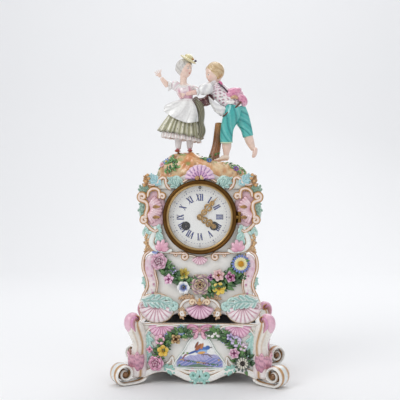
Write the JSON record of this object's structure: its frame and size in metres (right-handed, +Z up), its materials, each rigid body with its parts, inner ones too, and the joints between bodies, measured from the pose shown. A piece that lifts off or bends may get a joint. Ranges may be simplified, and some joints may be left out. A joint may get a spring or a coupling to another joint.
{
  "type": "figural mantel clock",
  "caption": "Rococo porcelain mantel clock on a scroll-footed stand, with applied flowers, a figure group on top, a hinged glazed bezel and a spring-driven striking movement.",
  "frame": {"origin": "centre of the bounding box's bottom face, on the surface under the feet", "axes": "+Z up, the dial faces -Y, +X to the viewer's right"},
  "size_m": [0.2486, 0.178, 0.4642],
  "materials": {
    "porcelain": "glossy white glaze with ochre gilding",
    "tinted_porcelain": "glossy pink and mint enamels on white",
    "flower_enamel": "applied flowers in coloured enamels over green leaves",
    "rock_enamel": "peach and green enamels",
    "figure_enamel": "flesh and costume enamels",
    "felt": "black baize",
    "brass": "aged lacquered brass",
    "steel": "polished steel",
    "bell_metal": "bell metal",
    "dial_enamel": "white enamel with blue numerals",
    "gilt_brass": "gilt",
    "glass": "clear"
  },
  "bodies": {
    "stand": {"stand_body": "porcelain", "console_front_right": "porcelain", "console_front_left": "porcelain", "console_back_right": "porcelain", "console_back_left": "porcelain", "felt_pad": "felt", "cartouche_panel": "porcelain", "ribbon_bow": "tinted_porcelain", "apron_scroll": "tinted_porcelain", "spray_left": "flower_enamel", "spray_right": "flower_enamel"},
    "case": {"case_body": "porcelain", "rocaille_right": "tinted_porcelain", "rocaille_left": "tinted_porcelain", "shoulder_right": "tinted_porcelain", "shoulder_left": "tinted_porcelain", "lower_curl_right": "tinted_porcelain", "lower_curl_left": "tinted_porcelain", "pilaster_right": "tinted_porcelain", "pilaster_left": "tinted_porcelain", "corner_shell_right": "tinted_porcelain", "corner_shell_left": "tinted_porcelain", "apron_shell": "tinted_porcelain", "crest_shell": "tinted_porcelain", "under_scrolls": "porcelain", "garland_leaves": "flower_enamel", "garland_large_flowers": "flower_enamel", "garland_small_flowers": "flower_enamel", "mound": "rock_enamel", "lady_figure": "figure_enamel", "lady_skirt": "figure_enamel", "lady_apron": "figure_enamel", "lady_hat": "figure_enamel", "boy_figure": "figure_enamel", "coat_tails": "figure_enamel", "tree_stump": "rock_enamel", "movement_plates": "brass", "case_straps": "brass", "dial": "dial_enamel", "bezel_ring": "brass", "back_ring": "brass", "bell": "bell_metal"},
    "bezel_door": {"bezel_door": "brass", "bezel_glass": "glass"},
    "back_door": {"back_door": "brass"},
    "centre_arbor": {"centre_wheel": "brass", "cannon_pinion": "steel", "minute_hand": "gilt_brass"},
    "hour_pipe": {"hour_wheel": "brass", "hour_hand": "gilt_brass"},
    "minute_wheel": {"minute_wheel": "brass"},
    "going_barrel": {"going_barrel": "brass"},
    "third_wheel": {"third_wheel": "brass"},
    "escape_wheel": {"escape_wheel": "brass"},
    "strike_barrel": {"strike_barrel": "brass"},
    "pendulum": {"pendulum": "brass", "pallet_anchor": "steel"},
    "hammer": {"hammer": "steel"},
    "regulator_arbor": {"regulator_arbor": "steel"}
  },
  "joints": [
    {"name": "case_lift", "type": "slide", "parent": "stand", "child": "case", "axis": [0, 0, 1], "range_m": [0, 0.05]},
    {"name": "bezel_hinge", "type": "hinge", "parent": "case", "child": "bezel_door", "pos_m": [0.055, -0.059, 0.2316], "axis": [0, 0, 1], "range_deg": [0, 100]},
    {"name": "back_door_hinge", "type": "hinge", "parent": "case", "child": "back_door", "pos_m": [-0.053, 0.0521, 0.2316], "axis": [0, 0, 1], "range_deg": [0, 100]},
    {"name": "centre_turn", "type": "hinge", "parent": "case", "child": "centre_arbor", "pos_m": [0, 0, 0.2316], "axis": [0, 1, 0], "continuous": true},
    {"name": "hour_turn", "type": "hinge", "parent": "case", "child": "hour_pipe", "pos_m": [0, 0, 0.2316], "axis": [0, 1, 0], "continuous": true},
    {"name": "minute_wheel_turn", "type": "hinge", "parent": "case", "child": "minute_wheel", "pos_m": [0, 0, 0.2148], "axis": [0, 1, 0], "continuous": true},
    {"name": "going_barrel_turn", "type": "hinge", "parent": "case", "child": "going_barrel", "pos_m": [0.0197, 0, 0.2192], "axis": [0, 1, 0], "continuous": true},
    {"name": "third_turn", "type": "hinge", "parent": "case", "child": "third_wheel", "pos_m": [0.00825, 0, 0.24589], "axis": [0, 1, 0], "continuous": true},
    {"name": "escape_turn", "type": "hinge", "parent": "case", "child": "escape_wheel", "pos_m": [0, 0, 0.25528], "axis": [0, 1, 0], "continuous": true},
    {"name": "strike_barrel_turn", "type": "hinge", "parent": "case", "child": "strike_barrel", "pos_m": [-0.0197, 0, 0.2192], "axis": [0, 1, 0], "continuous": true},
    {"name": "pendulum_swing", "type": "hinge", "parent": "case", "child": "pendulum", "pos_m": [0, -0.008, 0.2638], "axis": [0, 1, 0], "range_deg": [-4, 4]},
    {"name": "hammer_lift", "type": "hinge", "parent": "case", "child": "hammer", "pos_m": [-0.02988, 0.0085, 0.24885], "axis": [0, 1, 0], "range_deg": [0, 12]},
    {"name": "regulator_turn", "type": "hinge", "parent": "case", "child": "regulator_arbor", "pos_m": [0, 0, 0.2729], "axis": [0, 1, 0], "continuous": true}
  ],
  "couplings": [
    {"joint": "hour_turn", "follows": "centre_turn", "ratio": 0.083333},
    {"joint": "minute_wheel_turn", "follows": "centre_turn", "ratio": -0.33333},
    {"joint": "going_barrel_turn", "follows": "centre_turn", "ratio": -0.25},
    {"joint": "third_turn", "follows": "centre_turn", "ratio": -4},
    {"joint": "escape_turn", "follows": "centre_turn", "ratio": 16}
  ]
}
